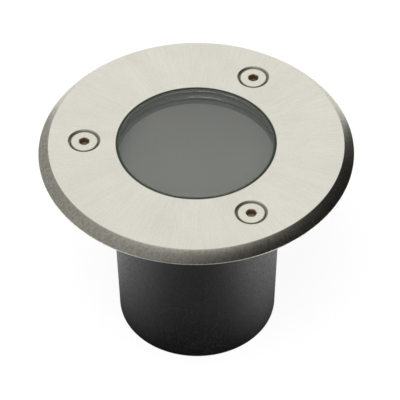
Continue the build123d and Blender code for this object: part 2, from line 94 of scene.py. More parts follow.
# Fineness of the surfaces: steps to a full turn, plate cells from a hole's middle to its border
PLATE_STEPS, POT_STEPS, GLAND_STEPS, SMALL_STEPS = 360, 240, 144, 96
HOLE_CELLS = 8
ON_BORDER = 0.999
WELD = 2e-6                         # metres


# Sizes and colours that a user can change

def size(name, description, millimetres):
    """A length property, with its default given in millimetres."""
    return FloatProperty(
        name=name, description=description, default=millimetres * MM, min=0.0, precision=6,
        subtype="DISTANCE", unit="LENGTH")


def colour(name, description, *rgb):
    """A linear colour property."""
    return FloatVectorProperty(
        name=name, description=description, default=rgb, subtype="COLOR", size=3, min=0.0, max=1.0)


class WellLightSizes(PropertyGroup):
    """Small sizes that the CAD model leaves plain."""

    edge_round: size("Trim edge round", "Radius where the plate turns into its bevel", 0.15)
    bevel_crown: size("Bevel crown", "How far the bevel's middle stands off a straight cone", 0.15)
    rim_round: size("Rim round", "Radius at the foot of the bevel", 0.25)
    mouth_round: size("Countersink round", "Radius where a countersink meets the plate", 0.12)
    opening_round: size("Opening round", "Radius round the opening for the glass", 0.12)
    glass_round: size("Glass edge round", "Radius ground onto the glass's upper edge", 0.5)
    head_round: size("Screw head round", "Radius round a screw head's face", 0.34)
    socket_chamfer: size("Socket chamfer", "Width of the chamfer round a screw's hexagon", 0.24)
    foot_round: size("Pot foot round", "Radius of the pot's bottom edge", 1.5)
    cast_round: size("Casting round", "Radius on the pot's other outer edges", 0.5)


class WellLightColours(PropertyGroup):
    """Linear colours of the finishes."""

    plate: colour("Trim plate", "Brushed stainless steel of the trim", 0.745, 0.73, 0.645)
    screw: colour("Screws", "Stainless steel of the trim screws", 0.72, 0.71, 0.61)
    coat: colour("Pot coat", "Textured powder coat of the pot", 0.0055, 0.0062, 0.0054)
    glass: colour("Glass", "Clear toughened glass", 0.94, 0.97, 0.95)
    # the sealant's dark green is partly its own colour and partly painted shade for the dark greenish glass edge
    bead: colour("Sealant", "Bead round the glass", 0.024, 0.03, 0.021)
    seal: colour("Gasket", "Silicone gasket under the glass", 0.037, 0.038, 0.034)
    spacer: colour("Spacer", "Dark ring above the disc", 0.01, 0.0095, 0.008)
    # the disc's dark grey is painted shade: it stands in for the dark inside of the pot seen through the satin
    # glass
    disc: colour("Disc", "Satin glass disc above the lamp", 0.0455, 0.0385, 0.0375)
    rubber: colour("Rubber", "Washer and seal of the cable gland", 0.02, 0.02, 0.02)


class WellLightStage(PropertyGroup):
    """Camera, lamps and floor."""

    camera_place: FloatVectorProperty(
        name="Camera place", description="Where the camera stands, in metres",
        default=(0.01992, -0.67110, 0.73000), size=3, subtype="TRANSLATION")
    camera_aim: FloatVectorProperty(
        name="Camera aim", description="Point in the middle of the picture, in metres",
        default=(0.00121, 0.00004, 0.05240), size=3, subtype="TRANSLATION")
    camera_roll: FloatProperty(
        name="Camera roll", description="Turn of the camera about its own axis",
        default=-0.0055, subtype="ANGLE", unit="ROTATION")
    lens: FloatProperty(
        name="Lens", description="Focal length on a 36 mm sensor", default=241.73, unit="CAMERA")
    room_light: FloatProperty(
        name="Room light", description="Strength of the light from all sides", default=0.28)
    screens: BoolProperty(
        name="Grey screens", description="Screens out of view that shade the bevel and the pot", default=True)


def settings(context):
    """The three groups of values, as (sizes, colours, stage)."""
    scene = context.scene
    return scene.well_light_sizes, scene.well_light_colours, scene.well_light_stage


def small_sizes(context):
    """The first group's sizes by name, in millimetres."""
    group = settings(context)[0]
    return SimpleNamespace(**{name: getattr(group, name) / MM for name in WellLightSizes.__annotations__})


# Outlines

def outline(*corners, loop=False, steps=5):
    """Polyline through (radius, height) or (radius, height, rounding) corners.

    A rounded corner becomes an arc. It leaves the first side and meets the second at a distance of
    rounding over the tangent of half the corner's angle, and its points are the centre plus rounding
    times the unit vector at evenly spaced angles. The ends of an open line are never rounded.
    """
    points = np.array([c[:2] for c in corners], float)
    pieces = []
    for i, corner in enumerate(corners):
        rounding = corner[2] if len(corner) > 2 else 0.0
        here = points[i]
        if rounding <= 0.0 or (not loop and i in (0, len(corners) - 1)):
            pieces.append(here[None])
            continue
        before, after = points[i - 1] - here, points[(i + 1) % len(points)] - here
        before, after = before / np.linalg.norm(before), after / np.linalg.norm(after)
        half = 0.5 * math.acos(float(np.clip(before @ after, -1.0, 1.0)))
        middle = before + after
        centre = here + middle / np.linalg.norm(middle) * rounding / math.sin(half)
        start = here + before * rounding / math.tan(half) - centre
        end = here + after * rounding / math.tan(half) - centre
        first = math.atan2(start[1], start[0])
        sweep = (math.atan2(end[1], end[0]) - first + math.pi) % (2 * math.pi) - math.pi
        angles = first + sweep * np.linspace(0.0, 1.0, steps + 1)
        pieces.append(centre + rounding * np.stack([np.cos(angles), np.sin(angles)], axis=1))
    return np.concatenate(pieces)


def hex_reach(angles):
    """Distance from the centre to a hexagon of unit flats: 1 over the cosine of the angle to the nearest flat."""
    sector = math.pi / 3
    return 1.0 / np.cos((angles + sector / 2) % sector - sector / 2)


# Surfaces

def ring_faces(rows, steps, closed=False):
    """Quads of a grid of rows by steps that wraps along its steps, and along its rows too if closed."""
    r = np.arange(rows if closed else rows - 1)[:, None]
    s = np.arange(steps)[None]
    up, on = (r + 1) % rows, (s + 1) % steps
    return np.stack([r * steps + s, r * steps + on, up * steps + on, up * steps + s], axis=2).reshape(-1, 4)


def swept(rows, steps=PLATE_STEPS, closed=False, turn=0.0, ripple=None, flats=None):
    """Surface round the Z axis as a function of row and angle.

    Each row is (radius, height) or (radius, height, share). The radius is as given where share is 0,
    and times the reach of a hexagon where share is 1, mixed in between. flats, half a spanner size,
    limits it to the reach of that hexagon. ripple, a function of angles, heights and radii, is added
    to it. Rows of radius 0 close to a pole. With closed, the last row joins the first.
    """
    rows = np.asarray(rows, float)
    angles = np.arange(steps) * (2 * math.pi / steps)
    share = rows[:, 2:3] if rows.shape[1] > 2 else np.zeros((len(rows), 1))
    radius = rows[:, :1] * (1.0 - share + share * hex_reach(angles))
    height = np.broadcast_to(rows[:, 1:2], radius.shape)
    if flats is not None:
        radius = np.minimum(radius, flats * hex_reach(angles))
    if ripple is not None:
        radius = radius + ripple(angles[None], height, radius)
    points = np.stack([radius * np.cos(angles + turn), radius * np.sin(angles + turn), height], axis=2)
    return points.reshape(-1, 3), ring_faces(len(rows), steps, closed)


def pierced(inner, outer, height, mouth):
    """Flat ring with three round holes, as a polar grid whose cells open round each hole.

    The grid has one cell to a degree. Round a hole, s is the larger of the two index distances from
    its centre, counted in blocks. Cells with s under 1 are left out. From s = 1 to s = 2 a point is
    (2 - s) times the point of the mouth at the angle of its place on the block's border, plus (s - 1)
    times the point of the plain polar grid that lies in the same direction at s = 2.
    """
    cells, steps = HOLE_CELLS, PLATE_STEPS
    half = 2 * cells + 6
    inward, outward = (SCREW_CIRCLE - inner) / half, (outer - SCREW_CIRCLE) / half
    row, column = np.broadcast_arrays(np.arange(2 * half + 1)[:, None] - half, np.arange(steps)[None])

    def polar(u, degrees):
        radius = SCREW_CIRCLE + u * np.where(u < 0, inward, outward)
        return np.stack([radius * np.cos(np.radians(degrees)), radius * np.sin(np.radians(degrees))], axis=-1)

    points = polar(row, column)
    left_out = np.zeros((2 * half, steps), bool)
    for degrees in DIRECTIONS:
        u = row / cells
        v = ((column - degrees + 180) % 360 - 180) / cells
        s = np.maximum(np.abs(u), np.abs(v))
        scale = np.where(s > 0, s, 1.0)
        turn = border_angle(u / scale, v / scale) + math.radians(degrees)
        middle = polar(np.zeros(1), degrees)[0]
        ring = middle + mouth * np.stack([np.cos(turn), np.sin(turn)], axis=-1)
        far = polar(2 * cells * u / scale, degrees + 2 * cells * v / scale)
        mixed = ring * (2.0 - s)[..., None] + far * (s - 1.0)[..., None]
        points = np.where(((s < 2.0) & (s > ON_BORDER))[..., None], mixed, points)
        half_cell = 0.5 / cells
        left_out |= (np.abs(u[:-1] + half_cell) < 1.0) & (np.abs(v[:-1] + half_cell) < 1.0)
    points = np.concatenate([points, np.full(points.shape[:2] + (1,), height)], axis=2)
    quads = ring_faces(2 * half + 1, steps).reshape(2 * half, steps, 4)
    return points.reshape(-1, 3), quads[~left_out]


def border_angle(u, v):
    """Angle of a point on the border of the square from -1 to 1, which grows evenly along the border."""
    right = (u >= ON_BORDER) & (np.abs(v) <= 1.0)
    way = np.where(right, v, np.where(v >= ON_BORDER, 2.0 - u, np.where(u <= -ON_BORDER, 4.0 - v, 6.0 + u)))
    return way * (math.pi / 4)


def moved(patch, x, y):
    """The patch shifted sideways by millimetres."""
    return patch[0] + np.array([x, y, 0.0]), patch[1]


def screw_place(degrees):
    """Point of the screws' circle in one direction."""
    at = math.radians(degrees)
    return SCREW_CIRCLE * math.cos(at), SCREW_CIRCLE * math.sin(at)


def groove(angles, heights, pitch, runs, fade):
    """Depth of a screw thread, from 0 to 1, as a function of angle and height.

    It is twice the distance of (height over pitch, less the share of a full turn) from the nearest
    half, and it fades in and out at both ends of each run of heights.
    """
    wave = np.abs(((heights / pitch - angles / (2 * math.pi)) % 1.0) * 2.0 - 1.0)
    ends = sum(np.clip((heights - a) / fade, 0, 1) * np.clip((b - heights) / fade, 0, 1) for a, b in runs)
    return wave * np.clip(ends, 0, 1)


def along_y(patch):
    """The patch laid from the Z axis along the gland's axis: (x, y, z) goes to (x, z, height - y)."""
    p = patch[0]
    return np.stack([p[:, 0], p[:, 2], GLAND_HEIGHT - p[:, 1]], axis=1), patch[1]


def box_patch(low, high):
    """Closed box between two corners, as the eight products of its coordinates and six quads."""
    corners = np.array(np.meshgrid(*zip(low, high), indexing="ij")).reshape(3, 8).T
    quads = np.array([[0, 1, 3, 2], [4, 6, 7, 5], [0, 4, 5, 1], [2, 3, 7, 6], [0, 2, 6, 4], [1, 5, 7, 3]])
    return corners, quads


# Meshes

def welded(name, points, faces):
    """Mesh from points in millimetres, with those in one place welded and the faces turned outwards."""
    mesh = bpy.data.meshes.new(name)
    mesh.from_pydata((points * MM).tolist(), [], faces)
    tidy = bmesh.new()
    tidy.from_mesh(mesh)
    bmesh.ops.remove_doubles(tidy, verts=tidy.verts, dist=WELD)
    bmesh.ops.recalc_face_normals(tidy, faces=tidy.faces)
    tidy.to_mesh(mesh)
    tidy.free()
    return mesh


def mesh_of(name, *patches):
    """Mesh from (points, quads) patches, joined into one."""
    starts = np.cumsum([0, *(len(points) for points, _ in patches)])
    quads = np.concatenate([faces + start for (_, faces), start in zip(patches, starts)])
    return welded(name, np.concatenate([points for points, _ in patches]), quads.tolist())


def prism(name, corners, thickness, degrees):
    """Plate about a radial plane: its (radius, height) corners moved half the thickness to each side."""
    rz = np.asarray(corners, float)
    at = math.radians(degrees)
    along = np.array([math.cos(at), math.sin(at), 0.0])
    across = np.array([-math.sin(at), math.cos(at), 0.0]) * thickness / 2
    middle = rz[:, :1] * along + rz[:, 1:] * np.array([0.0, 0.0, 1.0])
    n = len(rz)
    sides = [(i, (i + 1) % n, n + (i + 1) % n, n + i) for i in range(n)]
    faces = [tuple(range(n - 1, -1, -1)), tuple(range(n, 2 * n)), *sides]
    return welded(name, np.concatenate([middle - across, middle + across]), faces)


def peg(name, radius, low, high, steps=72, place=(0.0, 0.0), top_round=0.0, low_round=0.0):
    """Closed cylinder up the Z axis, moved to a place, as one turned outline."""
    rows = outline((0, high), (radius, high, top_round), (radius, low, low_round), (0, low))
    return mesh_of(name, moved(swept(rows, steps), *place))


def placed(name, data):
    """New object in the scene for a mesh, a lamp or a camera."""
    obj = bpy.data.objects.new(name, data)
    bpy.context.scene.collection.objects.link(obj)
    return obj


def aimed(obj, place, aim, roll=0.0):
    """Puts a lamp or the camera at its place, turns it to its aim, then about its own axis."""
    obj.location = place
    obj.rotation_mode = "QUATERNION"
    turn = (Vector(aim) - Vector(place)).to_track_quat("-Z", "Y")
    obj.rotation_quaternion = turn @ Quaternion((0, 0, 1), roll)


def piece(name, mesh, node, crisp=32.0):
    """Object for a mesh, in the place, body, slot and finish of the CAD node that it stands for.

    Edges sharper than the crisp angle, in degrees, are kept crisp.
    """
    mesh.shade_smooth()
    mesh.set_sharp_from_angle(angle=math.radians(crisp))
    mesh.materials.append(finish(SLOT_OF[node]))
    obj = placed(name, mesh)
    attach(obj, BODY_OF[node])
    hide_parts(node)


def fused(name, base, added, cut):
    """Base mesh with the added solids joined to it and the cut solids taken away."""
    body = placed(name + "_base", base)
    tools = []
    for operation, meshes in (("UNION", added), ("DIFFERENCE", cut)):
        for i, mesh in enumerate(meshes):
            tool = placed(f"{name}_{operation}_{i}", mesh)
            change = body.modifiers.new(f"{operation}_{i}", "BOOLEAN")
            change.operation, change.solver, change.object = operation, "EXACT", tool
            tools.append(tool)
    bpy.context.view_layer.update()
    done = bpy.data.meshes.new_from_object(body.evaluated_get(bpy.context.evaluated_depsgraph_get()))
    done.name = name
    for obj in [body, *tools]:
        old = obj.data
        bpy.data.objects.remove(obj)
        bpy.data.meshes.remove(old)
    if not done.polygons:
        raise RuntimeError(f"{name}: nothing left of the fused solid")
    return done


# Finishes

def add_node(tree, kind, values=None, **properties):
    """A node with its properties set and its inputs set or linked."""
    node = tree.nodes.new(kind)
    for key, value in properties.items():
        setattr(node, key, value)
    for key, value in (values or {}).items():
        if isinstance(value, NodeSocket):
            tree.links.new(value, node.inputs[key])
        else:
            node.inputs[key].default_value = value
    return node


def by_identifier(sockets, identifier):
    """The socket of a mix node that has that identifier, because several share one name."""
    return next(s for s in sockets if s.identifier == identifier)


class Finish:
    """One material under construction: its nodes read Object coordinates in metres."""

    def __init__(self, name, rgb, metallic=0.0, roughness=0.5, **plain):
        self.material = bpy.data.materials.new(name)
        self.material.use_nodes = True
        self.tree = self.material.node_tree
        self.shader = self.tree.nodes["Principled BSDF"]
        self.output = self.tree.nodes["Material Output"]
        self.rgb = tuple(rgb)
        self.material.diffuse_color = (*self.rgb, 1.0)
        values = {"Base Color": (*self.rgb, 1.0), "Metallic": metallic, "Roughness": roughness, **plain}
        for socket, value in values.items():
            self.shader.inputs[socket.replace("_", " ")].default_value = value
        self.place = self.add("ShaderNodeTexCoord").outputs["Object"]

    def add(self, kind, values=None, **properties):
        return add_node(self.tree, kind, values, **properties)

    def maths(self, operation, a, b):
        return self.add("ShaderNodeMath", {0: a, 1: b}, operation=operation).outputs[0]

    def sum_of(self, *terms):
        """Sum of (value, share) products."""
        total = None
        for value, share in terms:
            term = self.maths("MULTIPLY", value, share)
            total = term if total is None else self.maths("ADD", total, term)
        return total

    def scaled(self, vector, x, y, z):
        """The vector with each axis multiplied."""
        return self.add("ShaderNodeVectorMath", {0: vector, 1: (x, y, z)}, operation="MULTIPLY").outputs[0]

    def noise(self, vector, scale, detail, roughness=0.55):
        node = self.add(
            "ShaderNodeTexNoise", {"Vector": vector, "Scale": scale, "Detail": detail, "Roughness": roughness})
        return node.outputs["Fac"]

    def spread(self, value, low, high, at=(0.3, 0.7)):
        """Value from a range of the pattern carried to low..high."""
        return self.add(
            "ShaderNodeMapRange",
            {"Value": value, "From Min": at[0], "From Max": at[1], "To Min": low, "To Max": high}).outputs[0]

    def tint(self, value, dark, light, at=(0.3, 0.7)):
        """Base colour between dark and light shares of the finish's colour, by the pattern."""
        share = self.spread(value, 0.0, 1.0, at)
        mix = self.add("ShaderNodeMix", {0: share}, data_type="RGBA")
        for socket, factor in (("A_Color", dark), ("B_Color", light)):
            factor = factor if isinstance(factor, tuple) else (factor,) * 3
            mixed = [min(1.0, c * f) for c, f in zip(self.rgb, factor)]
            by_identifier(mix.inputs, socket).default_value = (*mixed, 1.0)
        self.tree.links.new(by_identifier(mix.outputs, "Result_Color"), self.shader.inputs["Base Color"])

    def from_screws(self):
        """Distance from the nearest of the three screw axes."""
        parts = self.add("ShaderNodeSeparateXYZ", {0: self.place})
        flat = self.add("ShaderNodeCombineXYZ", {0: parts.outputs[0], 1: parts.outputs[1]}).outputs[0]
        nearest = None
        for degrees in DIRECTIONS:
            axis = (*(c * MM for c in screw_place(degrees)), 0.0)
            away = self.add("ShaderNodeVectorMath", {0: flat, 1: axis}, operation="DISTANCE").outputs["Value"]
            nearest = away if nearest is None else self.maths("MINIMUM", nearest, away)
        return nearest

    def within(self, value, low, high):
        """1 where the value lies between two limits and 0 outside them, with soft borders."""
        soft = 0.00012
        above = self.spread(value, 0.0, 1.0, (low - soft, low + soft))
        below = self.spread(value, 1.0, 0.0, (high - soft, high + soft))
        return self.maths("MULTIPLY", above, below)

    def grimy(self, mask, rgb, roughness, metallic):
        """Mixes a dull colour, more roughness and less metal in where the mask is 1: painted shade in the
        countersinks and sockets, and blots on the bevel.
        """
        for socket, value in (("Base Color", (*rgb, 1.0)), ("Roughness", roughness), ("Metallic", metallic)):
            target = self.shader.inputs[socket]
            kind, data_type = ("Color", "RGBA") if socket == "Base Color" else ("Float", "FLOAT")
            mix = self.add("ShaderNodeMix", {0: mask}, data_type=data_type)
            clean = by_identifier(mix.inputs, "A_" + kind)
            if target.links:
                self.tree.links.new(target.links[0].from_socket, clean)
            else:
                clean.default_value = target.default_value
            by_identifier(mix.inputs, "B_" + kind).default_value = value
            self.tree.links.new(by_identifier(mix.outputs, "Result_" + kind), target)

    def rough(self, value, low, high, at=(0.3, 0.7)):
        self.tree.links.new(self.spread(value, low, high, at), self.shader.inputs["Roughness"])

    def bump(self, value, depth, strength=1.0, under=None):
        """Surface relief of that depth in metres. Returns the normal, for a second layer."""
        inputs = {"Height": value, "Distance": depth, "Strength": strength}
        if under is not None:
            inputs["Normal"] = under
        normal = self.add("ShaderNodeBump", inputs).outputs[0]
        self.tree.links.new(normal, self.shader.inputs["Normal"])
        return normal

    def lets_lamps_through(self, rgb):
        """Glass whose tinted clear stand-in is met by the rays that look for lamps."""
        ray = self.add("ShaderNodeLightPath").outputs["Is Shadow Ray"]
        clear = self.add("ShaderNodeBsdfTransparent", {"Color": (*rgb, 1.0)})
        mix = self.add("ShaderNodeMixShader", {0: ray, 1: self.shader.outputs[0], 2: clear.outputs[0]})
        self.tree.links.new(mix.outputs[0], self.output.inputs["Surface"])


def brushed_outwards(name, rgb, roughness):
    """Steel brushed outwards from the middle, with painted shade darkening the countersinks, and blotched on the
    bevel.

    Noise is read at (a scale times the unit vector from the axis, radius over a streak's length), so
    it varies fast round the axis and slowly along the radius, and has no seam.
    """
    f = Finish(name, rgb, metallic=1.0, roughness=roughness)
    parts = f.add("ShaderNodeSeparateXYZ", {0: f.place})
    flat = f.add("ShaderNodeCombineXYZ", {0: parts.outputs[0], 1: parts.outputs[1]}).outputs[0]
    radius = f.add("ShaderNodeVectorMath", {0: flat}, operation="LENGTH").outputs["Value"]
    unit = f.add("ShaderNodeVectorMath", {0: flat}, operation="NORMALIZE").outputs[0]
    split = f.add("ShaderNodeSeparateXYZ", {0: unit})
    along = f.sum_of((radius, 160.0), (parts.outputs[2], 160.0))

    def streaks(scale, length, detail):
        vector = f.add("ShaderNodeCombineXYZ", {
            0: f.maths("MULTIPLY", split.outputs[0], scale), 1: f.maths("MULTIPLY", split.outputs[1], scale),
            2: f.maths("MULTIPLY", along, length)}).outputs[0]
        return f.noise(vector, 1.0, detail, 0.6)

    fine = streaks(363.0, 0.7, 2.0)
    coarse = streaks(99.0, 0.6, 3.0)
    cloud = f.noise(f.scaled(f.place, 90, 90, 90), 1.0, 2.0)
    sector = streaks(3.5, 0.12, 2.0)
    speck = f.noise(f.place, 1500.0, 2.0, 0.6)
    both = f.sum_of((fine, 0.5), (coarse, 0.5))
    worn = f.sum_of((both, 0.45), (sector, 0.2), (speck, 0.2), (cloud, 0.15))
    f.tint(worn, 0.89, 1.05, (0.4, 0.6))
    f.rough(worn, roughness - 0.035, roughness + 0.045, (0.38, 0.62))
    f.bump(both, 0.000012, 0.6)
    # painted shade: the countersink walls below the plate top are darkened with a dull colour
    sunk_painted_shade = f.maths("MULTIPLY", f.within(parts.outputs[2], 0.0, (TOP - 0.3) * MM),
                   f.within(f.from_screws(), -1.0, SINK_MOUTH * MM))
    f.grimy(sunk_painted_shade, (0.31, 0.3, 0.24), 0.4, 0.9)
    sloped = f.maths("MULTIPLY", f.within(parts.outputs[2], (TRIM_UNDER - 1) * MM, (TOP - 0.25) * MM),
                     f.within(radius, (RIM - BEVEL - 0.5) * MM, 1.0))
    blots = f.spread(f.noise(f.place, 1000.0, 3.0, 0.7), 0.0, 0.8, (0.42, 0.62))
    f.grimy(f.maths("MULTIPLY", sloped, blots), (0.5, 0.46, 0.36), 0.4, 1.0)
    return f.material


def turned_steel(name, rgb, roughness):
    """Turned steel of the screws: grain drawn out across the axis over soft clouds, and painted shade darkening the
    sockets.
    """
    f = Finish(name, rgb, metallic=1.0, roughness=roughness)
    grain = f.noise(f.scaled(f.place, 900, 900, 3500), 1.0, 3.0)
    cloud = f.noise(f.scaled(f.place, 350, 350, 350), 1.0, 2.0)
    worn = f.sum_of((grain, 0.6), (cloud, 0.4))
    f.tint(worn, 0.93, 1.04, (0.35, 0.65))
    f.rough(worn, roughness - 0.05, roughness + 0.07, (0.35, 0.65))
    f.bump(grain, 0.00001, 0.5)
    height = f.add("ShaderNodeSeparateXYZ", {0: f.place}).outputs[2]
    # painted shade: the hexagon sockets are darkened with a dull brown
    socket = f.maths("MULTIPLY", f.within(height, (TOP - 2.4) * MM, (TOP - 0.4) * MM),
                     f.within(f.from_screws(), -1.0, 2.2 * MM))
    f.grimy(socket, (0.16, 0.105, 0.045), 0.4, 0.6)
    return f.material


def textured_coat(name, rgb, roughness):
    """Powder coat: grains under a millimetre across under a slow ripple, with paler, rougher crests."""
    f = Finish(name, rgb, roughness=roughness, Specular_IOR_Level=0.6)
    grains = f.noise(f.place, 1250.0, 3.0, 0.65)
    ripple = f.noise(f.place, 420.0, 2.0, 0.5)
    slow = f.noise(f.place, 60.0, 2.0, 0.5)
    f.tint(f.sum_of((grains, 0.7), (slow, 0.3)), 0.4, 1.8, (0.38, 0.62))
    f.rough(grains, roughness - 0.12, roughness + 0.14, (0.35, 0.65))
    f.bump(grains, 0.00012, 0.8, f.bump(ripple, 0.0001, 0.5))
    return f.material


def moulded(name, rgb, roughness, grain, depth=0.00002, gloss=0.5):
    """Rubber, polymer or ceramic: a fine matt grain with slow changes of shade."""
    f = Finish(name, rgb, roughness=roughness, Specular_IOR_Level=gloss)
    fine = f.noise(f.place, grain, 2.0, 0.6)
    slow = f.noise(f.place, grain * 0.06, 2.0, 0.5)
    f.tint(f.sum_of((fine, 0.5), (slow, 0.5)), 0.88, 1.12)
    f.rough(fine, roughness - 0.06, roughness + 0.08)
    f.bump(fine, depth, 0.5)
    return f.material


def plated(name, rgb, roughness, spots=400.0, cast=(1.0, 0.97, 0.9)):
    """Plated or bare metal: slow clouds of a second cast, fine drawn grain and small changes of gloss."""
    f = Finish(name, rgb, metallic=1.0, roughness=roughness)
    cloud = f.noise(f.place, spots, 3.0, 0.6)
    grain = f.noise(f.scaled(f.place, 1, 1, 5), 1800.0, 2.0, 0.5)
    f.tint(cloud, tuple(0.88 * c for c in cast), (1.05, 1.05, 1.05))
    f.rough(f.sum_of((cloud, 0.5), (grain, 0.5)), roughness - 0.06, roughness + 0.1)
    f.bump(grain, 0.000012, 0.4)
    return f.material


def clear_pane(name, rgb, tint, density, ior=1.5):
    """Clear glass: polished, with faint wipe marks in its tint and a cast that deepens with thickness."""
    f = Finish(name, rgb, roughness=0.0, Transmission_Weight=1.0, IOR=ior)
    wipes = f.noise(f.scaled(f.place, 1.0, 0.35, 1.0), 120.0, 3.0, 0.6)
    f.tint(wipes, 0.985, 1.005, (0.4, 0.75))
    f.lets_lamps_through(tuple(c ** 0.5 for c in rgb))
    depth = f.add("ShaderNodeVolumeAbsorption", {"Color": (*tint, 1.0), "Density": density})
    f.tree.links.new(depth.outputs[0], f.output.inputs["Volume"])
    return f.material


def satin_glass(name, rgb):
    """Etched glass seen from outside: a dense matt grey that is painted shade for the dark inside of the pot behind
    the disc, with a very fine tooth and slow changes of shade.
    """
    f = Finish(name, rgb, roughness=0.55, Specular_IOR_Level=0.3)
    tooth = f.noise(f.place, 2200.0, 2.0, 0.6)
    slow = f.noise(f.place, 38.0, 2.0, 0.5)
    f.tint(f.sum_of((tooth, 0.25), (slow, 0.75)), 0.965, 1.035)
    f.rough(tooth, 0.5, 0.62)
    f.bump(tooth, 0.000002, 0.1)
    return f.material


def faceted_mirror(name, rgb):
    """Coated lamp dish: small facets, as Voronoi cells of the surface, with a cool or warm cast."""
    f = Finish(name, rgb, metallic=1.0, roughness=0.12)
    cells = f.add("ShaderNodeTexVoronoi", {"Vector": f.place, "Scale": 420.0}).outputs["Distance"]
    f.tint(cells, (0.9, 0.88, 1.02), (1.06, 1.05, 1.0), (0.1, 0.7))
    f.rough(cells, 0.08, 0.2, (0.1, 0.7))
    f.bump(cells, 0.0001, 0.5)
    return f.material


FINISHES = {}


def finish(slot):
    """The finish for one of the record's material slots, made once."""
    if slot in FINISHES:
        return FINISHES[slot]
    colours = settings(bpy.context)[1]
    make, name, *values = {
        "brushed_stainless": (brushed_outwards, "brushed_steel", colours.plate, 0.34),
        "screw_stainless": (turned_steel, "screw_steel", colours.screw, 0.3),
        "charcoal_coat": (textured_coat, slot, colours.coat, 0.46),
        "clear_glass": (clear_pane, slot, colours.glass, (0.62, 0.9, 0.72), 22.0, 1.47),
        "lamp_glass": (clear_pane, slot, (0.97, 0.97, 0.97), (0.95, 0.97, 0.97), 4.0),
        "satin_glass": (satin_glass, slot, colours.disc),
        "lamp_mirror": (faceted_mirror, slot, (0.75, 0.74, 0.78)),
        "dark_sealant": (moulded, slot, colours.bead, 0.5, 900.0, 0.00001, 0.12),
        "grey_silicone": (moulded, slot, colours.seal, 0.5, 1400.0),
        "black_rubber": (moulded, slot, colours.rubber, 0.6, 1600.0),
        "black_polymer": (moulded, slot, colours.spacer, 0.55, 1700.0, 0.00002, 0.2),
        "ivory_polymer": (moulded, slot, (0.75, 0.73, 0.64), 0.4, 900.0),
        "white_silicone": (moulded, slot, (0.75, 0.74, 0.7), 0.45, 1300.0),
        "white_ceramic": (moulded, slot, (0.82, 0.8, 0.74), 0.35, 700.0, 0.00003),
        "zinc_steel": (plated, slot, (0.6, 0.61, 0.62), 0.35, 300.0, (1.0, 0.98, 0.9)),
        "nickel_wire": (plated, slot, (0.68, 0.66, 0.62), 0.25),
        "nickel_brass": (plated, slot, (0.62, 0.6, 0.54), 0.24, 160.0, (1.0, 0.98, 0.93)),
        "brass": (plated, slot, (0.72, 0.55, 0.25), 0.3, 300.0, (0.95, 0.85, 0.7)),
    }[slot]
    FINISHES[slot] = make(name, *values)
    return FINISHES[slot]


# Operators

class WellLightOperator(Operator):
    """Base for the operators of the well light."""

    bl_options = {"REGISTER", "UNDO"}


class WELLLIGHT_OT_trim(WellLightOperator):
    """Builds the trim plate: a pierced flat ring, its bevel, its recesses and three countersinks"""

    bl_idname = "welllight.trim"
    bl_label = "Trim plate"

    def execute(self, context):
        sizes = small_sizes(context)
        # the bevel bulges a little: its middle stands off the straight line by the crown
        inner, outer = np.array([RIM - BEVEL, TOP]), np.array([RIM, TOP - BEVEL])
        share = np.linspace(0.0, 1.0, 9)[1:-1, None]
        crowned = inner + (outer - inner) * share + 4 * sizes.bevel_crown * share * (1 - share) * math.sqrt(0.5)
        outside = outline(
            (RIM - BEVEL - FLAT_LEAD, TOP), (*inner, sizes.edge_round), *crowned,
            (*outer, sizes.rim_round), (RIM, TRIM_UNDER, 0.12),
            (REGISTER, TRIM_UNDER), (REGISTER, REGISTER_TOP))
        inside = outline(
            (RECESS, REGISTER_TOP), (RECESS, RECESS_TOP), (OPENING, RECESS_TOP),
            (OPENING, TOP, sizes.opening_round), (OPENING + FLAT_LEAD, TOP))
        wall = outline(
            (SINK_MOUTH + SINK_LEAD, TOP), (SINK_MOUTH, TOP, sizes.mouth_round),
            (SINK_HOLE, TOP - SINK_MOUTH + SINK_HOLE), (SINK_HOLE, REGISTER_TOP))
        sinks = [moved(swept(wall, 8 * HOLE_CELLS, turn=math.radians(d)), *screw_place(d)) for d in DIRECTIONS]
        piece("trim_plate", mesh_of(
            "trim_plate", swept(outside), swept(inside),
            pierced(OPENING + FLAT_LEAD, RIM - BEVEL - FLAT_LEAD, TOP, SINK_MOUTH + SINK_LEAD),
            pierced(RECESS, REGISTER, REGISTER_TOP, SINK_HOLE), *sinks), "trim_ring")
        return {"FINISHED"}


class WELLLIGHT_OT_screws(WellLightOperator):
    """Builds the three countersunk screws, with a hexagon socket and a cut thread"""

    bl_idname = "welllight.screws"
    bl_label = "Trim screws"

    def execute(self, context):
        sizes = small_sizes(context)
        head, shank, socket, depth, pitch, cut, fade = 4.7, 2.45, 1.5, 2.2, 0.8, 0.42, 0.6
        chamfer = sizes.socket_chamfer
        for node, (degrees, turn) in SCREW_TURNS.items():
            tip, face = span(node)
            cone = TOP - SINK_MOUTH + 0.05
            neck = cone + shank

            def thread(angles, heights, radii):
                return -cut * groove(angles, heights, pitch, [(tip + 0.2, neck - 0.3)], fade)

            top = [(0, face - depth - 0.6, 0), (socket * 0.97, face - depth, 0), (socket, face - depth, 1),
                   (socket, face - chamfer * 1.5, 1), (socket * 1.09 + chamfer, face, 0.35)]
            rim = outline(
                (socket + 1.0, face), (head, face, sizes.head_round), (head, cone + head, 0.08), (shank, neck))
            stem = [(shank, height) for height in np.linspace(neck, tip + 0.6, SMALL_STEPS)[1:]]
            plain = np.concatenate([rim, stem, [(shank - 0.6, tip), (0, tip)]])
            rows = np.concatenate([top, np.column_stack([plain, np.zeros(len(plain))])])
            patch = swept(rows, SMALL_STEPS, turn=math.radians(turn - 30), ripple=thread)
            name = f"{node}_body"
            piece(name, mesh_of(name, moved(patch, *screw_place(degrees))), node)
        return {"FINISHED"}


